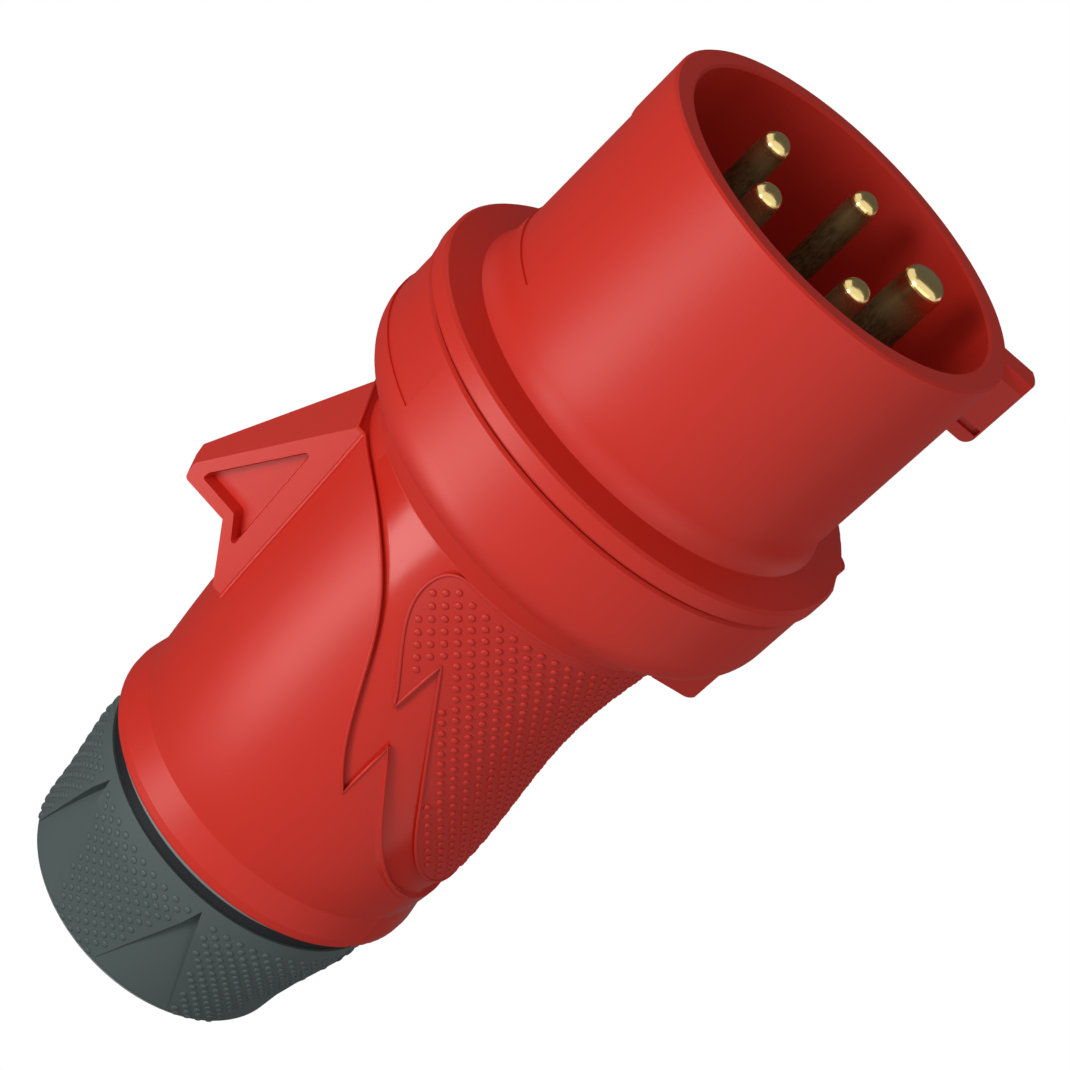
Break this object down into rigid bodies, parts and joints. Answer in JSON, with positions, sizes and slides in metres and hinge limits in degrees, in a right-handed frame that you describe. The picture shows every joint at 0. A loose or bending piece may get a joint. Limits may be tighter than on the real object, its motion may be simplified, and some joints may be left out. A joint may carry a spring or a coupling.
{
  "type": "industrial pin and sleeve plug",
  "caption": "Round-sleeved industrial power plug with contact pins, a bayonet collar with lock slide, an angled grip pad, a finger fin and a tapered cable gland nut.",
  "frame": {"origin": "centre of the cable hole in the gland nut's end face", "axes": "+Z along the cable gland axis from the nut's end to the sleeve's rim, +X towards the key, finger fin on -X; the sleeve's axis is parallel to Z at x = -3.3 mm"},
  "size_m": [0.0835, 0.0782, 0.1738],
  "materials": {
    "red_moulding": "moulded, fine satin grain",
    "red_grip": "soft overmoulded pad with raised dots",
    "contact_brass": "turned and polished",
    "screw_steel": "zinc plated",
    "carrier_plastic": "moulded, matte",
    "guard_plastic": "moulded, matte",
    "seal_rubber": "smooth black rubber",
    "grey_gland": "moulded, fine grain",
    "gland_plastic": "natural polyamide"
  },
  "bodies": {
    "plug": {"handle_housing": "red_moulding", "grip_pad": "red_grip", "sleeve_shroud": "red_moulding", "contact_carrier": "carrier_plastic", "pin_earth": "contact_brass", "pin_l1": "contact_brass", "pin_l2": "contact_brass", "pin_l3": "contact_brass", "pin_neutral": "contact_brass", "terminal_screws": "screw_steel", "carrier_screws": "screw_steel", "terminal_guard": "guard_plastic", "guard_screw": "screw_steel", "front_seal": "seal_rubber", "gland_seal_ring": "seal_rubber", "gland_bush": "seal_rubber", "clamp_collet": "gland_plastic"},
    "slide": {"lock_slide": "red_moulding"},
    "thrust": {"thrust_ring": "gland_plastic"},
    "nut": {"gland_nut": "grey_gland"}
  },
  "joints": [
    {"name": "lock_slide_draw", "type": "slide", "parent": "plug", "child": "slide", "axis": [0, 0, -1], "range_m": [0, 0.003]},
    {"name": "nut_travel", "type": "slide", "parent": "plug", "child": "thrust", "axis": [0, 0, -1], "range_m": [0, 0.003]},
    {"name": "nut_turn", "type": "hinge", "parent": "thrust", "child": "nut", "pos_m": [0, 0, 0], "axis": [0, 0, -1], "range_deg": [0, 360]}
  ],
  "couplings": [
    {"joint": "nut_travel", "follows": "nut_turn", "m_per_rad": 0.00047742}
  ]
}
